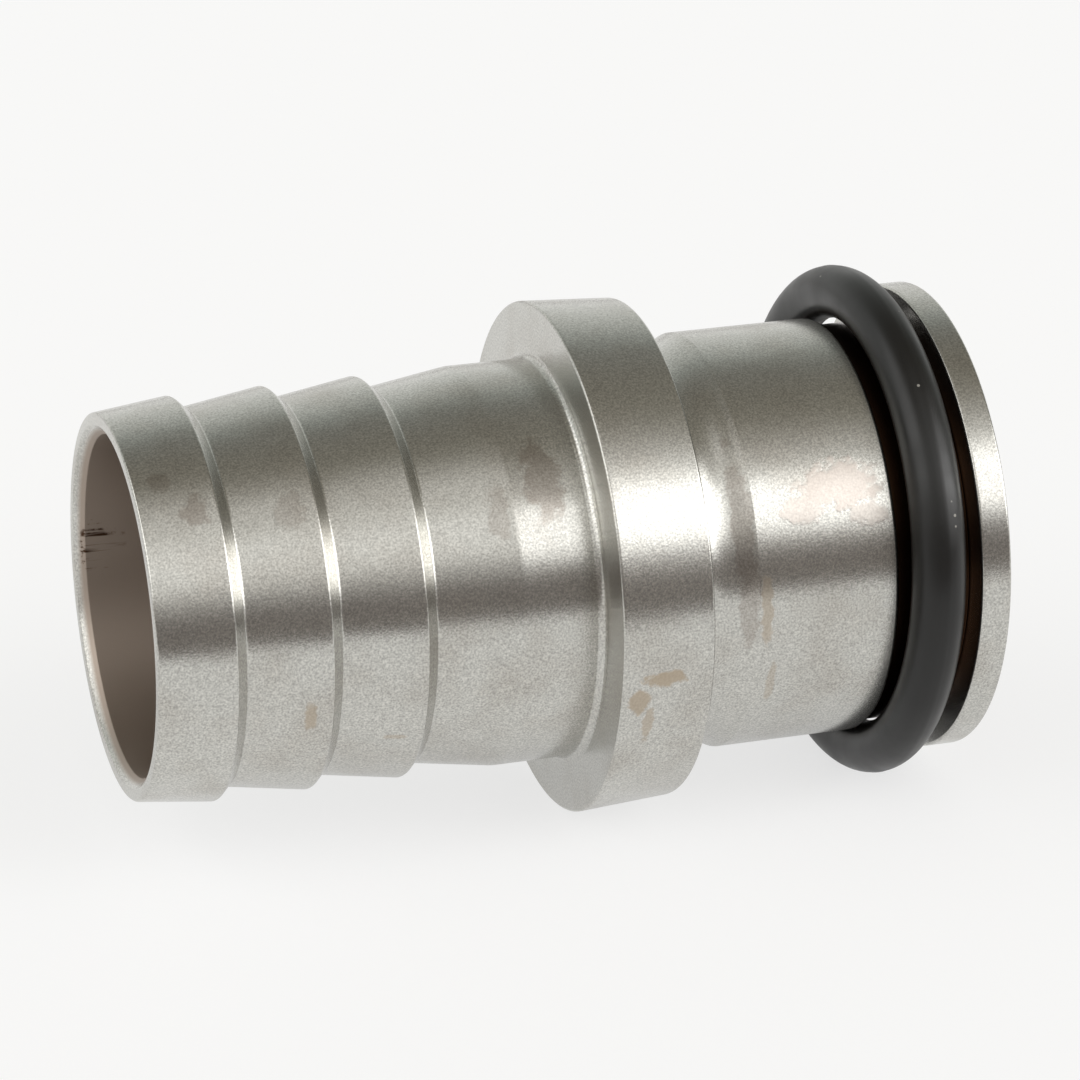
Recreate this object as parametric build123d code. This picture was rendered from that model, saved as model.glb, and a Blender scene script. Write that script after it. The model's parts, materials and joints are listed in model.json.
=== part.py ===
from build123d import *
import os

# Male half of a quick coupling: a turned hose tail with a collar, a spigot and an end flange,
# and one loose O-ring. Millimetres and degrees.
# X runs along the bore, from the hose end (-X) to the coupling end (+X). X = 0 is the collar's
# hose-side face, where a hose or its ferrule stops. +Z is up, and the part lies on its collar.

# Waterway and hose mouth
bore_r = 16.9
hose_end_x = -44.0
nose_r = 19.1
mouth_chamfer = 1.0

# Hose barbs: each ramp grows towards the collar and ends in a 45 degree back step
barb_count = 3
barb_pitch = 9.4
first_crest_x = -36.5
crest_r = 20.0
barb_step = 1.3
crest_edge_r = 0.15
root_edge_r = 0.3

# Plain land between the last ramp and the collar, as large as the crests
land_start_x = -8.0
land_r = crest_r
land_fillet = 0.8

# Collar, turned with a slight taper towards the coupling end
collar_width = 9.5
collar_r = 25.7
collar_small_r = 25.1
collar_edge = 0.3

# Shallow hollow beside the collar, one arc wide, then the plain spigot
hollow_end_x = 15.5
hollow_depth = 0.8
spigot_r = 21.0
spigot_end_x = 30.0
spigot_edge = 0.4

# Seal groove and end flange
groove_r = 20.2
flange_x = 37.6
flange_r = 23.7
flange_thickness = 3.1
flange_edge = 0.3
bore_exit_chamfer = 0.5

# O-ring, 41.2 x 5.3. It is loose in a groove that is wider than it needs, so it lies askew:
# it leans on the spigot's edge at its lower back and stands off at its upper front.
# The surface that the collar lies on also carries the ring and holds it up in its groove.
ring_inner_r = 20.6
ring_cord_r = 2.65
ring_x = 32.6
ring_lean_y = 1.6
ring_lean_z = 1.3

end_face_x = flange_x + flange_thickness
ring_centre_r = ring_inner_r + ring_cord_r
ring_lift = ring_centre_r + ring_cord_r - collar_r


def barb_crests():
    """Places of the barbs' crests as (x, radius)."""
    return [(first_crest_x + i * barb_pitch, crest_r) for i in range(barb_count)]


def barb_roots():
    """Places of the roots just behind the crests as (x, radius)."""
    return [(x + barb_step, r - barb_step) for x, r in barb_crests()]


def nearest_corners(profile, places):
    """Corners of the flat profile that lie at the given places."""
    return [profile.vertices().sort_by_distance(Vector(x, r))[0] for x, r in places]


def turned_profile():
    """Half section of the turned body, with the radius along Y."""
    tail = [
        (hose_end_x + mouth_chamfer, bore_r),
        (hose_end_x, bore_r + mouth_chamfer),
        (hose_end_x, nose_r),
    ]
    for crest, root in zip(barb_crests(), barb_roots()):
        tail += [crest, root]
    tail.append((land_start_x, land_r))
    collar = [
        (0, land_r),
        (0, collar_r),
        (collar_width, collar_small_r),
        (collar_width, spigot_r),
    ]
    hollow_floor = ((collar_width + hollow_end_x) / 2, spigot_r - hollow_depth)
    spigot = [
        (hollow_end_x, spigot_r),
        (spigot_end_x, spigot_r),
        (spigot_end_x, groove_r),
    ]
    flange = [
        (flange_x, groove_r),
        (flange_x, flange_r),
        (end_face_x, flange_r),
        (end_face_x, bore_r + bore_exit_chamfer),
        (end_face_x - bore_exit_chamfer, bore_r),
    ]
    outline = [
        Polyline(*tail, *collar),
        ThreePointArc(collar[-1], hollow_floor, spigot[0]),
        Polyline(*spigot, *flange, tail[0]),
    ]
    profile = make_face(outline)

    rounds = [
        (barb_crests(), crest_edge_r),
        (barb_roots(), root_edge_r),
        ([(0, land_r)], land_fillet),
    ]
    for places, radius in rounds:
        profile = fillet(nearest_corners(profile, places), radius)
    chamfers = [
        ([(0, collar_r), (collar_width, collar_small_r)], collar_edge),
        ([(spigot_end_x, spigot_r)], spigot_edge),
        ([(flange_x, flange_r), (end_face_x, flange_r)], flange_edge),
    ]
    for places, length in chamfers:
        profile = chamfer(nearest_corners(profile, places), length)
    return profile


def make_hose_tail():
    """The whole turned body, one piece of bar."""
    return revolve(turned_profile(), Axis.X)


def make_o_ring():
    """The seal, askew in its groove."""
    ring = Rot(0, 90, 0) * Torus(ring_centre_r, ring_cord_r)
    return Pos(ring_x, 0, ring_lift) * Rot(0, ring_lean_y, ring_lean_z) * ring


parts = {
    "hose_tail": make_hose_tail(),
    "o_ring": make_o_ring(),
}

os.makedirs("parts", exist_ok=True)
for name, part in parts.items():
    part.label = name
    export_step(part, f"parts/{name}.step")
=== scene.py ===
"""A turned stainless hose tail with a loose rubber O-ring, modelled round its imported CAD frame.

Metres, +Z up. X runs along the bore, from the hose end to the coupling end, and X = 0 is the
collar's hose-side face.
"""

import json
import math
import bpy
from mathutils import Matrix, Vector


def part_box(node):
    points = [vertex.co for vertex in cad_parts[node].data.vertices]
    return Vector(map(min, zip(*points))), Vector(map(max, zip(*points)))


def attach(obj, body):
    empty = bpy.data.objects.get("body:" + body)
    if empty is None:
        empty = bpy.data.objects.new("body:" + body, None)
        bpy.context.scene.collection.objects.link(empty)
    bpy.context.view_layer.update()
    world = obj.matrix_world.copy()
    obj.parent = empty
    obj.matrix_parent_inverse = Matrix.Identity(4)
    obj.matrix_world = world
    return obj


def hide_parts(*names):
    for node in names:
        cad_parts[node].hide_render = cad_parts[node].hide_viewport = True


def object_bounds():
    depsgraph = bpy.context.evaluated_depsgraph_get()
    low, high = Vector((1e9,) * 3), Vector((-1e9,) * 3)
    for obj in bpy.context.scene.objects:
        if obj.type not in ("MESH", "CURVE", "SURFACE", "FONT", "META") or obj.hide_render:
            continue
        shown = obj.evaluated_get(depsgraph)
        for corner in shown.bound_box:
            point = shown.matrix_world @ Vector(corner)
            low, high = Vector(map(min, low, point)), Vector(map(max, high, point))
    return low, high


bl_info = {
    "name": "Hose tail coupling",
    "version": (1, 0, 0),
    "blender": (4, 5, 0),
    "location": "3D View > Sidebar > Coupling",
    "description": "Turned hose tail, its seal ring, their finishes and a small studio",
    "category": "Add Mesh",
}

import bmesh
import bpy
from bpy.props import FloatProperty, FloatVectorProperty, IntProperty, PointerProperty
from mathutils import Vector

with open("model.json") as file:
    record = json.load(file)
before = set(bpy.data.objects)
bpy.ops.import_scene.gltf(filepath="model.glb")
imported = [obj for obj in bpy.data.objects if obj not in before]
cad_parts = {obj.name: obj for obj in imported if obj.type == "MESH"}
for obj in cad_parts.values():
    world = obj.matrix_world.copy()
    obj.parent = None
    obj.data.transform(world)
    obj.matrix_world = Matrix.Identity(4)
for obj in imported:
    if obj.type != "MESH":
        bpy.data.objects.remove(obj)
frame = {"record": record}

MM = 0.001
MERGE = 0.001 * MM
HIDDEN_PROPERTIES = ("rna_type", "name")
CAD_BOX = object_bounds()
BODY_LOW, BODY_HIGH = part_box("hose_tail")
RING_LOW, RING_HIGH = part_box("o_ring")
MOUNTS = {mount["name"]: mount for mount in frame["record"]["mounts"]}
BORE_R = MOUNTS["waterway"]["dims"]["r_mm"] * MM
LAND_R = MOUNTS["hose_land"]["dims"]["r_mm"] * MM
FLANGE_R = MOUNTS["flange_rim"]["dims"]["r_mm"] * MM


def linear(code):
    """Turns an sRGB hex colour into the linear RGB that Blender's sockets take."""
    parts = [int(code[i:i + 2], 16) / 255 for i in (0, 2, 4)]
    return [p / 12.92 if p <= 0.04045 else ((p + 0.055) / 1.055) ** 2.4 for p in parts]


def length(name, description, default):
    """A size in metres."""
    return FloatProperty(name=name, description=description, default=default,
                         unit="LENGTH", subtype="DISTANCE", precision=5)


def angle(name, description, degrees):
    """An angle whose default is given in degrees."""
    return FloatProperty(name=name, description=description, default=math.radians(degrees),
                         unit="ROTATION", subtype="ANGLE")


def colour(name, description, code):
    """A colour whose default is given as sRGB hex."""
    return FloatVectorProperty(name=name, description=description, default=linear(code),
                               size=3, min=0, max=1, subtype="COLOR")


class BodySizes(bpy.types.PropertyGroup):
    """Sizes of the turned body that the frame's boxes and mounts don't give."""

    nose_r: length("Nose radius", "Outside of the tail at the hose mouth", 19.1 * MM)
    mouth_chamfer: length("Mouth chamfer", "45 degree chamfer in the hose mouth", 1.0 * MM)
    barb_count: IntProperty(name="Barbs", description="Number of hose barbs", default=3, min=1)
    barb_pitch: length("Barb pitch", "Distance from crest to crest", 9.4 * MM)
    first_crest: length("First crest", "Place of the outermost crest", -36.5 * MM)
    barb_step: length("Barb step", "Height and length of a barb's back step", 1.3 * MM)
    land_start: length("Land start", "Where the last ramp meets the plain land", -8.0 * MM)
    land_fillet: length("Land fillet", "Fillet between the land and the collar", 0.8 * MM)
    collar_width: length("Collar width", "Collar along the bore", 9.5 * MM)
    collar_r: length("Collar radius", "Collar on its hose side, before its chamfer", 25.7 * MM)
    collar_small_r: length("Collar small radius", "Collar on its other side", 25.1 * MM)
    hollow_end: length("Hollow end", "Where the hollow beside the collar ends", 15.5 * MM)
    hollow_depth: length("Hollow depth", "Depth of that hollow", 0.8 * MM)
    spigot_r: length("Spigot radius", "Plain spigot", 21.0 * MM)
    spigot_end: length("Spigot end", "Where the seal groove begins", 30.0 * MM)
    groove_r: length("Groove radius", "Floor of the seal groove", 20.2 * MM)
    flange_start: length("Flange start", "Groove side of the end flange", 37.6 * MM)
    segments: IntProperty(name="Segments", description="Steps round the lathe", default=288, min=32)


class RingSizes(bpy.types.PropertyGroup):
    """Sizes of the seal ring."""

    inner_r: length("Inner radius", "Inside of the ring", 20.6 * MM)
    cord_r: length("Cord radius", "Half the ring's section", 2.65 * MM)
    lean_y: angle("Lean", "How far the ring's top leans towards the flange", 1.6)
    lean_z: angle("Swing", "How far the ring's front swings towards the flange", 1.3)
    flash: length("Flash", "Height of the mould's parting line", 0.03 * MM)


class Finishes(bpy.types.PropertyGroup):
    """Colours of the two materials, of what marks them, and of the shade painted on the steel."""

    steel: colour("Steel", "Clean turned stainless steel", "C9C8C3")
    tarnish: colour("Tarnish", "Brown handling film", "9C9184")
    # Painted shade: the brown of the darker patches on the barbs, the land and the hollow beside the
    # collar.
    painted_shade: colour("Rust film", "Thin brown film of old rust", "7D6A5C")
    tan_stain: colour("Tan stain", "Dried water and oil marks", "B09F88")
    etched: colour("Etched patch", "Pinkish grey patch where the skin is etched", "C9BCB4")
    # Partly painted shade: in the groove this colour also paints the shade of the ring and the flange;
    # in the bore's short runs it marks real rusty streaks.
    rust_and_shade: colour("Rust", "Rust and old grease in the groove and the bore", "4A3426")
    bore: colour("Bore", "Film on the drilled bore", "B0A398")
    rubber: colour("Rubber", "Nitrile rubber", "0F0E0D")
    dust: colour("Dust", "Dust specks on the rubber", "9A9790")


class StageSizes(bpy.types.PropertyGroup):
    """Camera, floor and light."""

    azimuth: angle("Azimuth", "Camera angle round the object", -17.5)
    elevation: angle("Elevation", "Camera angle above the floor", 21.7)
    distance: length("Distance", "Camera to the collar's face", 494.7 * MM)
    aim_right: length("Aim right", "The camera's offset to its right", -0.31 * MM)
    aim_up: length("Aim up", "The camera's offset upwards", 1.68 * MM)
    lens: FloatProperty(name="Lens", description="Focal length in mm", default=164.9)
    floor_front: length("Floor front", "From the bore's axis to the table's front edge", 169 * MM)
    floor_depth: length("Floor depth", "From front to back", 1200 * MM)
    floor_width: length("Floor width", "From side to side", 1400 * MM)
    floor: colour("Floor", "White table", "FAFAFA")
    key_strength: FloatProperty(name="Key", description="Brightness of the right soft box", default=3.0)
    side_strength: FloatProperty(name="Side", description="Brightness of the left soft box", default=1.8)
    top_strength: FloatProperty(name="Top", description="Brightness of the overhead panel", default=0.45)


# ---------------------------------------------------------------- edit-mode helpers

def deselect_all():
    """Leaves edit mode and clears the selection, which the CAD nodes are in after loading."""
    if bpy.context.mode != "OBJECT":
        bpy.ops.object.mode_set(mode="OBJECT")
    bpy.ops.object.select_all(action="DESELECT")


def select_vertices(test):
    """In edit mode, selects the vertices whose place passes the test."""
    bpy.ops.mesh.select_mode(type="VERT")
    bpy.ops.mesh.select_all(action="DESELECT")
    mesh = bmesh.from_edit_mesh(bpy.context.object.data)
    for vertex in mesh.verts:
        vertex.select_set(test(vertex.co))
    mesh.select_flush_mode()
    bmesh.update_edit_mesh(bpy.context.object.data)


def finish_piece(name, material):
    """Names the active object, gives it its material and puts its place in its mesh."""
    piece = bpy.context.object
    piece.name = piece.data.name = name
    piece.data.materials.clear()
    piece.data.materials.append(material)
    bpy.ops.object.transform_apply(location=True, rotation=True, scale=True)
    return piece


# ---------------------------------------------------------------- materials

def add(tree, kind, values=None, links=None, **settings):
    """Adds a node, sets its properties and socket values, and links sockets that feed it."""
    made = tree.nodes.new(kind)
    for name, value in settings.items():
        setattr(made, name, value)
    for socket, value in (values or {}).items():
        made.inputs[socket].default_value = value
    for socket, source in (links or {}).items():
        tree.links.new(source, made.inputs[socket])
    return made


def new_material(name):
    """An empty node material with its shader and its object coordinates."""
    material = bpy.data.materials.new(name)
    material.use_nodes = True
    tree = material.node_tree
    tree.nodes.clear()
    shader = add(tree, "ShaderNodeBsdfPrincipled")
    add(tree, "ShaderNodeOutputMaterial", links={"Surface": shader.outputs["BSDF"]})
    place = add(tree, "ShaderNodeTexCoord").outputs["Object"]
    return material, tree, shader, place


def rgba(value):
    """Adds full opacity to a colour."""
    return (*value, 1.0)


# Marks of use on the body, and patches of painted shade: place along the bore and radius in mm, angle
# round it in degrees above the front (-Y), half length along the bore, half width round it, and
# strength.
TAN_STAINS = (
    (4.6, 25.4, -8, 2.4, 1.0, 0.75),
    (1.8, 25.6, -13, 1.2, 1.6, 0.7),
    (3.0, 25.6, -20, 0.7, 2.4, 0.5),
    (16.3, 21.0, 2, 0.7, 4.2, 0.5),
    (17.2, 21.0, -22, 0.5, 3.4, 0.35),
    (-29.2, 19.8, -18, 0.7, 1.8, 0.55),
    (-20.5, 19.6, -30, 1.2, 0.4, 0.4),
)
ETCHED_PATCHES = (
    (24.6, 21.0, 33, 4.6, 2.6, 1.0),
    (20.6, 21.0, 27, 2.6, 1.6, 0.8),
    (27.4, 21.0, 24, 2.2, 1.4, 0.7),
)
# Painted shade: darker brown patches on the barbs, the land and the hollow beside the collar, where
# those surfaces show the dim room.
PAINTED_SHADE_PATCHES = (
    (-38.6, 19.6, 47, 1.5, 1.8, 0.35),
    (-41.4, 19.4, 58, 1.2, 1.4, 0.3),
    (-29.6, 19.5, 44, 1.6, 2.4, 0.22),
    (-4.6, 20.0, 44, 2.2, 4.6, 0.4),
    (-9.5, 19.8, 36, 1.2, 3.0, 0.25),
    (14.4, 20.7, 24, 1.2, 9.0, 0.3),
    (14.6, 20.8, 4, 1.0, 6.0, 0.3),
)
BORE_RUST = (-41.6, 16.9, 181, 2.6, 2.6, 1.0)
# How far a mark's edge wanders, as a share of its half width.
PATCH_WOBBLE = 1.9

# Sizes of the textures. Each is drawn coarser than the real one, which is too fine to show.
STEEL_GRAIN = 0.2 * MM
FEED_MARKS = 0.4 * MM
RUBBER_GRAIN = 0.15 * MM
DUST_SPACING = 3.0 * MM


def patch_mask(tree, place, mark):
    """A ragged-edged spot on the surface, 1 inside and 0 outside."""
    x, r, degrees, half_length, half_width, strength = mark
    turn = math.radians(degrees)
    centre = Vector((x, -r * math.cos(turn), r * math.sin(turn))) * MM
    offset = add(tree, "ShaderNodeVectorMath", {1: centre}, {0: place}, operation="SUBTRACT")
    shape = (1 / (half_length * MM), 1 / (half_width * MM), 1 / (half_width * MM))
    scaled = add(tree, "ShaderNodeVectorMath", {1: shape}, {0: offset.outputs[0]},
                 operation="MULTIPLY")
    distance = add(tree, "ShaderNodeVectorMath", links={0: scaled.outputs[0]}, operation="LENGTH")
    ragged = add(tree, "ShaderNodeTexNoise", {"Scale": 700.0, "Detail": 6.0, "Roughness": 0.65},
                 {"Vector": place})
    wobble = add(tree, "ShaderNodeMath", {1: PATCH_WOBBLE, 2: -PATCH_WOBBLE / 2},
                 {0: ragged.outputs["Fac"]}, operation="MULTIPLY_ADD")
    edge = add(tree, "ShaderNodeMath", links={0: distance.outputs["Value"], 1: wobble.outputs[0]})
    return add(tree, "ShaderNodeMapRange", {"From Min": 1.0, "From Max": 0.7, "To Max": strength},
               {"Value": edge.outputs[0]}).outputs["Result"]


def sum_masks(tree, place, marks):
    """All the spots of one kind as one mask."""
    total = None
    for mark in marks:
        mask = patch_mask(tree, place, mark)
        if total is None:
            total = mask
        else:
            total = add(tree, "ShaderNodeMath", links={0: total, 1: mask},
                        operation="MAXIMUM").outputs[0]
    return total


def mix_colour(tree, fac, first, second):
    """Mixes two colours; each may be a socket or a plain colour."""
    mix = add(tree, "ShaderNodeMix", data_type="RGBA")
    for socket, value in ((6, first), (7, second)):
        if isinstance(value, bpy.types.NodeSocket):
            tree.links.new(value, mix.inputs[socket])
        else:
            mix.inputs[socket].default_value = rgba(value)
    tree.links.new(fac, mix.inputs[0])
    return mix.outputs[2]


def turned_stainless_steel(colours):
    """Stainless steel, fine turned and left dull: soft bands of reflection that run along the bore, a
    sparkle of fine grain, faint feed marks, brown marks from handling and storage, and painted shade in
    darker brown patches and in the groove behind the ring."""
    material, tree, shader, place = new_material("turned_stainless_steel")
    shader.inputs["Metallic"].default_value = 1.0
    shader.inputs["Anisotropic"].default_value = 0.5
    shader.inputs["Anisotropic Rotation"].default_value = 0.25
    x = add(tree, "ShaderNodeSeparateXYZ", links={0: place}).outputs["X"]
    # The lathe's marks run round the bore, so each reflection spreads along the bore.
    around = add(tree, "ShaderNodeVectorMath", {1: (1, 0, 0)}, {0: place},
                 operation="CROSS_PRODUCT")
    around = add(tree, "ShaderNodeVectorTransform", links={0: around.outputs[0]},
                 vector_type="VECTOR", convert_from="OBJECT", convert_to="WORLD").outputs[0]
    tree.links.new(around, shader.inputs["Tangent"])
    across = add(tree, "ShaderNodeVectorMath", {1: (0, 1, 1)}, {0: place}, operation="MULTIPLY")
    radius = add(tree, "ShaderNodeVectorMath", links={0: across.outputs[0]},
                 operation="LENGTH").outputs["Value"]

    # The grain of the dull skin, the turning tool's feed marks, and slow patches in the film.
    grain = add(tree, "ShaderNodeTexNoise", {"Scale": 1 / STEEL_GRAIN, "Detail": 3.0},
                {"Vector": place})
    stretch = add(tree, "ShaderNodeMapping", {"Scale": (1 / FEED_MARKS, 90.0, 90.0)},
                  {"Vector": place})
    feed = add(tree, "ShaderNodeTexNoise", {"Scale": 1.0, "Detail": 3.0}, {"Vector": stretch.outputs[0]})
    cloud = add(tree, "ShaderNodeTexNoise", {"Scale": 160.0, "Detail": 6.0}, {"Vector": place})

    # A thin, patchy brown film, the grain's sparkle, two kinds of mark, and patches of painted shade.
    film = add(tree, "ShaderNodeMapRange", {"From Min": 0.45, "From Max": 0.75, "To Max": 0.3},
               {"Value": cloud.outputs["Fac"]}).outputs["Result"]
    base = mix_colour(tree, film, colours.steel, colours.tarnish)
    speck = add(tree, "ShaderNodeMapRange",
                {"From Min": 0.32, "From Max": 0.68, "To Min": 0.72, "To Max": 1.2},
                {"Value": grain.outputs["Fac"]}).outputs["Result"]
    base = add(tree, "ShaderNodeVectorMath", links={0: base, "Scale": speck},
               operation="SCALE").outputs[0]
    # Painted shade: darker brown patches on the barbs, the land and the hollow beside the collar.
    dark = sum_masks(tree, place, PAINTED_SHADE_PATCHES)
    base = mix_colour(tree, dark, base, colours.painted_shade)
    tan = sum_masks(tree, place, TAN_STAINS)
    base = mix_colour(tree, tan, base, colours.tan_stain)
    etched = sum_masks(tree, place, ETCHED_PATCHES)
    pinkish = add(tree, "ShaderNodeMath", {1: 0.6}, {0: etched}, operation="MULTIPLY").outputs[0]
    base = mix_colour(tree, pinkish, base, colours.etched)

    # The groove behind the ring is painted dark brown: partly old grease and a rusty film, partly
    # painted shade where the ring and the flange shade it. The bore has a thinner brown film, with short
    # rusty runs by its mouth.
    low = add(tree, "ShaderNodeMapRange", {"From Min": 20.9 * MM, "From Max": 20.5 * MM},
              {"Value": radius}).outputs["Result"]
    past = add(tree, "ShaderNodeMapRange", {"From Min": 29.6 * MM, "From Max": 30.2 * MM},
               {"Value": x}).outputs["Result"]
    in_bore = add(tree, "ShaderNodeMapRange", {"From Min": 17.6 * MM, "From Max": 17.2 * MM},
                  {"Value": radius}).outputs["Result"]
    groove = add(tree, "ShaderNodeMath", links={0: low, 1: past}, operation="MULTIPLY").outputs[0]
    base = mix_colour(tree, groove, base, colours.rust_and_shade)
    base = mix_colour(tree, in_bore, base, colours.bore)
    streak_at = add(tree, "ShaderNodeMapping", {"Scale": (90.0, 2200.0, 2200.0)},
                    {"Vector": place})
    streaks = add(tree, "ShaderNodeTexNoise", {"Scale": 1.0, "Detail": 2.0},
                  {"Vector": streak_at.outputs[0]})
    rusty = patch_mask(tree, place, BORE_RUST)
    run = add(tree, "ShaderNodeMapRange", {"From Min": 0.5, "From Max": 0.6},
              {"Value": streaks.outputs["Fac"]}).outputs["Result"]
    for mask in (rusty, in_bore):
        run = add(tree, "ShaderNodeMath", links={0: run, 1: mask}, operation="MULTIPLY").outputs[0]
    base = mix_colour(tree, run, base, colours.rust_and_shade)
    tree.links.new(base, shader.inputs["Base Color"])

    # Marks are duller than clean steel, and the drilled bore is duller still.
    dull = add(tree, "ShaderNodeMath", links={0: etched, 1: tan}, operation="MAXIMUM").outputs[0]
    dull = add(tree, "ShaderNodeMath", {1: 2.2}, {0: in_bore, 2: dull},
               operation="MULTIPLY_ADD").outputs[0]
    rough = add(tree, "ShaderNodeMapRange",
                {"From Min": 0.3, "From Max": 0.7, "To Min": 0.21, "To Max": 0.27},
                {"Value": cloud.outputs["Fac"]}).outputs["Result"]
    rough = add(tree, "ShaderNodeMath", {1: 0.13}, {0: dull, 2: rough},
                operation="MULTIPLY_ADD").outputs[0]
    tree.links.new(rough, shader.inputs["Roughness"])

    marks = add(tree, "ShaderNodeMath", {1: 0.25}, {0: feed.outputs["Fac"], 2: grain.outputs["Fac"]},
                operation="MULTIPLY_ADD").outputs[0]
    marks = add(tree, "ShaderNodeMath", {1: 1.5}, {0: etched, 2: marks},
                operation="MULTIPLY_ADD").outputs[0]
    bump = add(tree, "ShaderNodeBump", {"Strength": 0.2, "Distance": 0.04 * MM}, {"Height": marks})
    tree.links.new(bump.outputs["Normal"], shader.inputs["Normal"])
    return material


def moulded_nitrile_rubber(colours):
    """Nitrile rubber, moulded: near black, a satin sheen that greys at grazing angles, a very
    fine matt grain, and a few specks of dust."""
    material, tree, shader, place = new_material("moulded_nitrile_rubber")
    shader.inputs["IOR"].default_value = 1.5
    cells = add(tree, "ShaderNodeTexVoronoi", {"Scale": 1 / DUST_SPACING}, {"Vector": place})
    specks = add(tree, "ShaderNodeMapRange", {"From Min": 0.06, "From Max": 0.04, "To Max": 0.9},
                 {"Value": cells.outputs["Distance"]}).outputs["Result"]
    base = mix_colour(tree, specks, colours.rubber, colours.dust)
    tree.links.new(base, shader.inputs["Base Color"])
    cloud = add(tree, "ShaderNodeTexNoise", {"Scale": 250.0, "Detail": 4.0}, {"Vector": place})
    rough = add(tree, "ShaderNodeMapRange",
                {"From Min": 0.3, "From Max": 0.7, "To Min": 0.3, "To Max": 0.42},
                {"Value": cloud.outputs["Fac"]}).outputs["Result"]
    tree.links.new(rough, shader.inputs["Roughness"])
    grain = add(tree, "ShaderNodeTexNoise", {"Scale": 1 / RUBBER_GRAIN, "Detail": 2.0},
                {"Vector": place})
    bump = add(tree, "ShaderNodeBump", {"Strength": 0.08, "Distance": 0.05 * MM},
               {"Height": grain.outputs["Fac"]})
    tree.links.new(bump.outputs["Normal"], shader.inputs["Normal"])
    return material


# ---------------------------------------------------------------- the turned body

def body_outline(sizes):
    """Corners of the half section as (x, radius, edge break), round the outline from the bore.
    The edge break is how far each corner is rounded back along its sides."""
    sharp = 0.08 * MM
    fine = 0.15 * MM
    root = 0.2 * MM
    nose = 0.25 * MM
    rim = 0.3 * MM
    groove_lip = 0.4 * MM
    bore_exit = 0.5 * MM
    hose_end, end_face = BODY_LOW.x, BODY_HIGH.x
    outline = [
        (hose_end + sizes.mouth_chamfer, BORE_R, sharp),
        (hose_end, BORE_R + sizes.mouth_chamfer, fine),
        (hose_end, sizes.nose_r, nose),
    ]
    for i in range(sizes.barb_count):
        crest = sizes.first_crest + i * sizes.barb_pitch
        outline.append((crest, LAND_R, fine))
        outline.append((crest + sizes.barb_step, LAND_R - sizes.barb_step, root))
    outline += [
        (sizes.land_start, LAND_R, root),
        (0, LAND_R, sizes.land_fillet),
        (0, sizes.collar_r, rim),
        (sizes.collar_width, sizes.collar_small_r, rim),
        (sizes.collar_width, sizes.spigot_r, fine),
        *hollow_points(sizes),
        (sizes.hollow_end, sizes.spigot_r, sharp),
        (sizes.spigot_end, sizes.spigot_r, groove_lip),
        (sizes.spigot_end, sizes.groove_r, sharp),
        (sizes.flange_start, sizes.groove_r, sharp),
        (sizes.flange_start, FLANGE_R, rim),
        (end_face, FLANGE_R, rim),
        (end_face, BORE_R + bore_exit, fine),
        (end_face - bore_exit, BORE_R, sharp),
    ]
    return outline


def hollow_points(sizes):
    """Points of the shallow arc beside the collar, between its two ends."""
    half = (sizes.hollow_end - sizes.collar_width) / 2
    radius = (half ** 2 + sizes.hollow_depth ** 2) / (2 * sizes.hollow_depth)
    reach = math.asin(half / radius)
    middle = sizes.collar_width + half
    centre_r = sizes.spigot_r - sizes.hollow_depth + radius
    steps = 12  # enough for the arc to look round in a close view
    points = []
    for i in range(1, steps):
        turn = reach * (2 * i / steps - 1)
        points.append((middle + radius * math.sin(turn), centre_r - radius * math.cos(turn), 0))
    return points


class COUPLING_OT_turned_body(bpy.types.Operator):
    """Draws the half section, rounds its corners and spins it round the bore"""

    bl_idname = "coupling.turned_body"
    bl_label = "Turned body"

    def execute(self, context):
        sizes = context.scene.coupling_body
        outline = body_outline(sizes)
        deselect_all()
        x, r, _ = outline[0]
        bpy.ops.mesh.primitive_plane_add(size=MM, location=(0, 0, 0))
        bpy.ops.object.mode_set(mode="EDIT")
        bpy.ops.mesh.select_all(action="SELECT")
        bpy.ops.mesh.merge(type="CENTER")
        bpy.ops.transform.translate(value=(x, 0, r))
        for (x0, r0, _), (x1, r1, _) in zip(outline, outline[1:] + outline[:1]):
            step = {"value": (x1 - x0, 0, r1 - r0)}
            bpy.ops.mesh.extrude_region_move(TRANSFORM_OT_translate=step)
        bpy.ops.mesh.select_all(action="SELECT")
        bpy.ops.mesh.remove_doubles(threshold=MERGE)
        for edge_break in sorted({corner[2] for corner in outline} - {0}):
            places = [Vector((x, 0, r)) for x, r, size in outline if size == edge_break]
            select_vertices(lambda at: any((at - place).length < 2 * MERGE for place in places))
            bpy.ops.mesh.bevel(offset=edge_break, segments=5, affect="VERTICES")
        bpy.ops.mesh.select_all(action="SELECT")
        bpy.ops.mesh.spin(steps=sizes.segments, angle=math.tau, center=(0, 0, 0), axis=(1, 0, 0))
        bpy.ops.mesh.select_all(action="SELECT")
        bpy.ops.mesh.remove_doubles(threshold=MERGE)
        bpy.ops.mesh.normals_make_consistent(inside=False)
        bpy.ops.object.mode_set(mode="OBJECT")
        bpy.ops.object.shade_smooth()
        bpy.ops.object.modifier_add(type="WEIGHTED_NORMAL")
        bpy.ops.object.modifier_apply(modifier=context.object.modifiers[-1].name)
        steel = turned_stainless_steel(context.scene.coupling_finishes)
        body = finish_piece("turned_body", steel)
        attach(body, "body")
        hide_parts("hose_tail")
        return {"FINISHED"}


# ---------------------------------------------------------------- the seal ring

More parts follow.
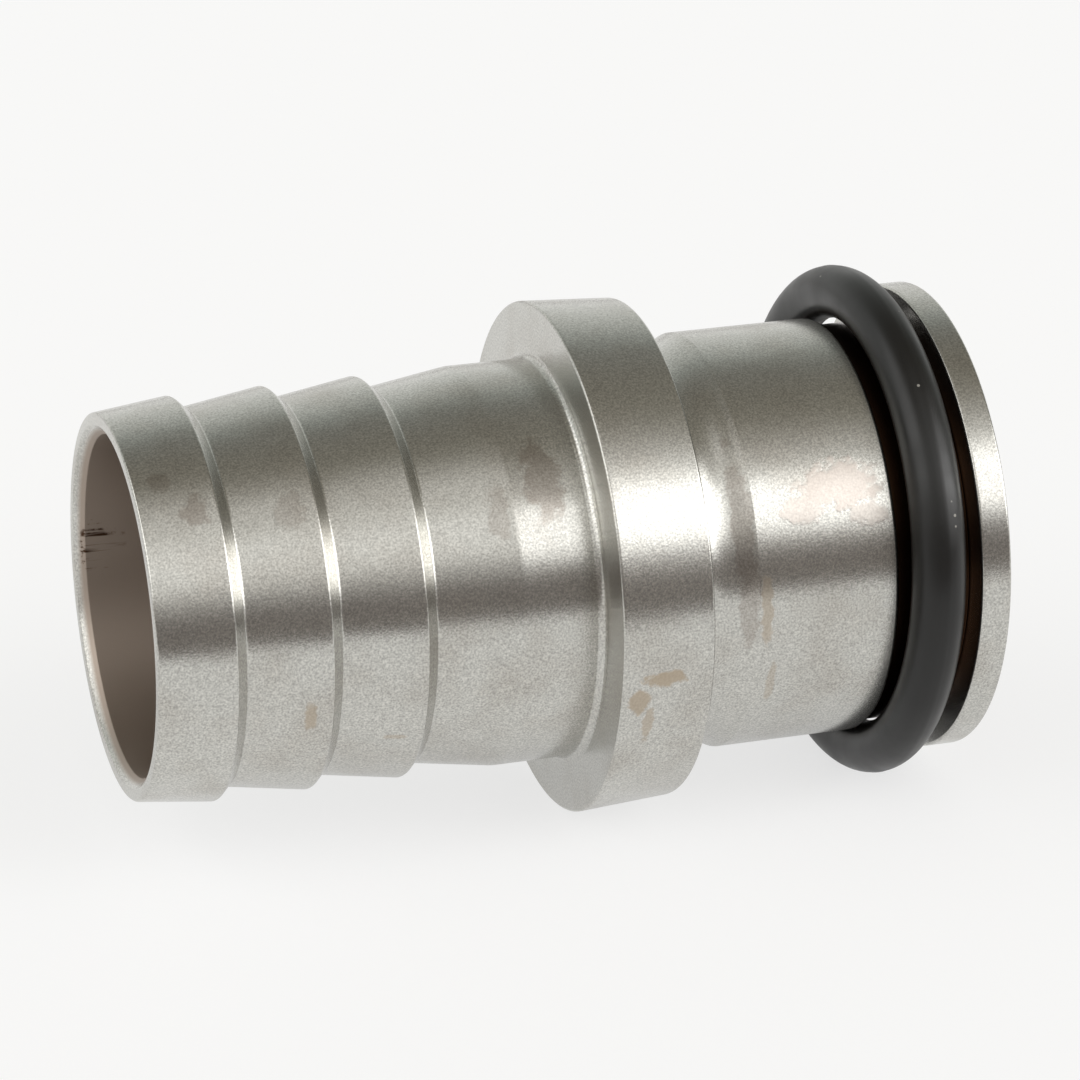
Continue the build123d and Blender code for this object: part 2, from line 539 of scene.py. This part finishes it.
class COUPLING_OT_seal_ring(bpy.types.Operator):
    """Adds the rubber ring, askew in its groove, with the mould's faint parting line"""

    bl_idname = "coupling.seal_ring"
    bl_label = "Seal ring"

    def execute(self, context):
        sizes = context.scene.coupling_ring
        centre = (RING_LOW + RING_HIGH) / 2
        major = sizes.inner_r + sizes.cord_r
        deselect_all()
        bpy.ops.mesh.primitive_torus_add(
            major_segments=320, minor_segments=64, major_radius=major, minor_radius=sizes.cord_r)
        bpy.ops.object.mode_set(mode="EDIT")
        outer = major + sizes.cord_r
        for radius, grow in ((outer, sizes.flash), (sizes.inner_r, -sizes.flash)):
            select_vertices(lambda at: abs(at.xy.length - radius) < 4 * MERGE)
            factor = 1 + grow / radius
            bpy.ops.transform.resize(value=(factor, factor, 1), center_override=(0, 0, 0))
        bpy.ops.object.mode_set(mode="OBJECT")
        bpy.ops.object.shade_smooth()
        ring = context.object
        ring.rotation_euler = (0, math.pi / 2 + sizes.lean_y, sizes.lean_z)
        ring.location = centre
        rubber = moulded_nitrile_rubber(context.scene.coupling_finishes)
        ring = finish_piece("seal_ring", rubber)
        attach(ring, "seal")
        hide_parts("o_ring")
        return {"FINISHED"}


# ---------------------------------------------------------------- stage, light and camera

# The room round the part, from straight ahead over the ceiling to the backdrop: where along
# that half turn, and how bright the room is there.
ROOM_STOPS = (
    (0.00, "847E79"), (0.05, "807A76"), (0.10, "AEABA7"), (0.14, "DEDCD7"), (0.19, "FCFBF7"),
    (0.27, "FFFEFA"), (0.31, "E4E2DC"), (0.37, "C6C3BC"), (0.44, "9E9A90"), (0.50, "8C887D"),
    (0.60, "86837A"), (0.68, "888882"), (0.74, "A2A6A1"), (0.79, "C2C5C0"), (0.87, "DEE0DC"),
    (1.00, "FAFAF8"),
)


def soft_box(tree, x, turn, middle_x, half_x, soft_x, middle_turn, half_turn, soft_turn):
    """Mask of a soft rectangular light: its middle, half size and softness, first along X and
    then in degrees up from the front."""
    mask = None
    reach = (
        (x, middle_x, half_x, soft_x),
        (turn, middle_turn / 180, half_turn / 180, soft_turn / 180),
    )
    for value, middle, half, soft in reach:
        away = add(tree, "ShaderNodeMath", {1: middle}, {0: value}, operation="SUBTRACT").outputs[0]
        away = add(tree, "ShaderNodeMath", links={0: away}, operation="ABSOLUTE").outputs[0]
        inside = add(tree, "ShaderNodeMapRange", {"From Min": half + soft, "From Max": half - soft},
                     {"Value": away}, interpolation_type="SMOOTHSTEP").outputs["Result"]
        if mask is None:
            mask = inside
        else:
            mask = add(tree, "ShaderNodeMath", links={0: mask, 1: inside},
                       operation="MULTIPLY").outputs[0]
    return mask


def studio_world(scene, stage):
    """A plain studio: dark room ahead, dim ceiling, white backdrop, and soft boxes to the right,
    to the left and overhead. Metal shows the studio; past the table the eye sees its white."""
    world = bpy.data.worlds.new("studio")
    scene.world = world
    world.use_nodes = True
    tree = world.node_tree
    tree.nodes.clear()
    sky = add(tree, "ShaderNodeTexCoord").outputs["Generated"]
    x, y, z = add(tree, "ShaderNodeSeparateXYZ", links={0: sky}).outputs
    forward = add(tree, "ShaderNodeMath", {1: -1.0}, {0: y}, operation="MULTIPLY").outputs[0]
    turn = add(tree, "ShaderNodeMath", links={0: z, 1: forward}, operation="ARCTAN2").outputs[0]
    turn = add(tree, "ShaderNodeMath", {1: math.pi}, {0: turn}, operation="DIVIDE").outputs[0]
    room = add(tree, "ShaderNodeValToRGB", links={"Fac": turn})
    ramp = room.color_ramp
    ramp.interpolation = "LINEAR"
    while len(ramp.elements) < len(ROOM_STOPS):
        ramp.elements.new(0.5)
    for element, (where, code) in zip(ramp.elements, ROOM_STOPS):
        element.position = where
        element.color = rgba(linear(code))
    boxes = (
        (stage.key_strength * 0.5, soft_box(tree, x, turn, 0.60, 0.42, 0.16, 36, 15, 8)),
        (stage.key_strength, soft_box(tree, x, turn, 0.80, 0.24, 0.10, 40, 26, 10)),
        (stage.side_strength, soft_box(tree, x, turn, -0.80, 0.22, 0.10, 85, 45, 20)),
        (stage.top_strength, soft_box(tree, x, turn, 0.02, 0.12, 0.12, 72, 12, 14)),
    )
    total = 0.0
    for strength, mask in boxes:
        more = add(tree, "ShaderNodeMath", {1: strength}, {0: mask}, operation="MULTIPLY_ADD")
        if isinstance(total, float):
            more.inputs[2].default_value = total
        else:
            tree.links.new(total, more.inputs[2])
        total = more.outputs[0]
    lit = add(tree, "ShaderNodeBackground", links={"Color": room.outputs["Color"]})
    lights = add(tree, "ShaderNodeBackground", links={"Strength": total})
    studio = add(tree, "ShaderNodeAddShader", links={0: lit.outputs[0], 1: lights.outputs[0]})
    white = add(tree, "ShaderNodeBackground", {"Color": (1, 1, 1, 1)})
    seen = add(tree, "ShaderNodeLightPath").outputs["Is Camera Ray"]
    shown = add(tree, "ShaderNodeMixShader",
                links={0: seen, 1: studio.outputs[0], 2: white.outputs[0]})
    add(tree, "ShaderNodeOutputWorld", links={"Surface": shown.outputs[0]})


def white_table(stage):
    """Matt white laminate: white to the eye and in the metal, with the part's soft shadow kept."""
    material, tree, shader, _ = new_material("matt_white_laminate")
    shader.inputs["Base Color"].default_value = rgba(stage.floor)
    shader.inputs["Roughness"].default_value = 0.9
    white = add(tree, "ShaderNodeEmission", {"Color": (1, 1, 1, 1), "Strength": 1.0})
    path = add(tree, "ShaderNodeLightPath").outputs
    to_eye, to_metal = 0.7, 0.5
    seen = add(tree, "ShaderNodeMath", {1: to_eye}, {0: path["Is Camera Ray"]},
               operation="MULTIPLY").outputs[0]
    seen = add(tree, "ShaderNodeMath", {1: to_metal}, {0: path["Is Glossy Ray"], 2: seen},
               operation="MULTIPLY_ADD").outputs[0]
    mixed = add(tree, "ShaderNodeMixShader",
                links={0: seen, 1: shader.outputs[0], 2: white.outputs[0]})
    out = next(node for node in tree.nodes if node.type == "OUTPUT_MATERIAL")
    tree.links.new(mixed.outputs[0], out.inputs["Surface"])
    return material


class COUPLING_OT_stage(bpy.types.Operator):
    """Adds the table, the studio's light and the camera"""

    bl_idname = "coupling.stage"
    bl_label = "Stage"

    def execute(self, context):
        scene = context.scene
        stage = scene.coupling_stage
        deselect_all()
        middle_y = stage.floor_depth / 2 - stage.floor_front
        bpy.ops.mesh.primitive_plane_add(size=1, location=(0, middle_y, CAD_BOX[0].z))
        table = context.object
        table.scale = (stage.floor_width, stage.floor_depth, 1)
        table = finish_piece("table", white_table(stage))
        studio_world(scene, stage)

        a, e = stage.azimuth, stage.elevation
        back = Vector((math.sin(a) * math.cos(e), -math.cos(a) * math.cos(e), math.sin(e)))
        right = Vector((math.cos(a), math.sin(a), 0))
        up = back.cross(right)
        place = back * stage.distance + right * stage.aim_right + up * stage.aim_up
        bpy.ops.object.camera_add(location=place)
        camera = context.object
        camera.rotation_euler = back.to_track_quat("Z", "Y").to_euler()
        camera.data.lens = stage.lens
        camera.data.sensor_width = 36.0
        scene.camera = camera
        scene.view_settings.view_transform = "Standard"
        return {"FINISHED"}


class COUPLING_PT_panel(bpy.types.Panel):
    """Lists the sizes, the colours and the steps that build the coupling half"""

    bl_label = "Hose tail coupling"
    bl_idname = "COUPLING_PT_panel"
    bl_space_type = "VIEW_3D"
    bl_region_type = "UI"
    bl_category = "Coupling"

    def draw(self, context):
        scene = context.scene
        for operator in OPERATORS:
            self.layout.operator(operator.bl_idname)
        for group_name in GROUPS:
            group = getattr(scene, group_name)
            box = self.layout.box()
            for name in group.bl_rna.properties.keys():
                if name not in HIDDEN_PROPERTIES:
                    box.prop(group, name)


GROUPS = {
    "coupling_body": BodySizes,
    "coupling_ring": RingSizes,
    "coupling_finishes": Finishes,
    "coupling_stage": StageSizes,
}
OPERATORS = (COUPLING_OT_turned_body, COUPLING_OT_seal_ring, COUPLING_OT_stage)


def register():
    for group in (*GROUPS.values(), *OPERATORS, COUPLING_PT_panel):
        bpy.utils.register_class(group)
    for name, group in GROUPS.items():
        setattr(bpy.types.Scene, name, PointerProperty(type=group))


def unregister():
    for name in GROUPS:
        delattr(bpy.types.Scene, name)
    for group in reversed((*GROUPS.values(), *OPERATORS, COUPLING_PT_panel)):
        bpy.utils.unregister_class(group)


def main():
    register()
    bpy.ops.coupling.turned_body()
    bpy.ops.coupling.seal_ring()
    bpy.ops.coupling.stage()
    bpy.context.view_layer.update()


if __name__ == "__main__":
    main()
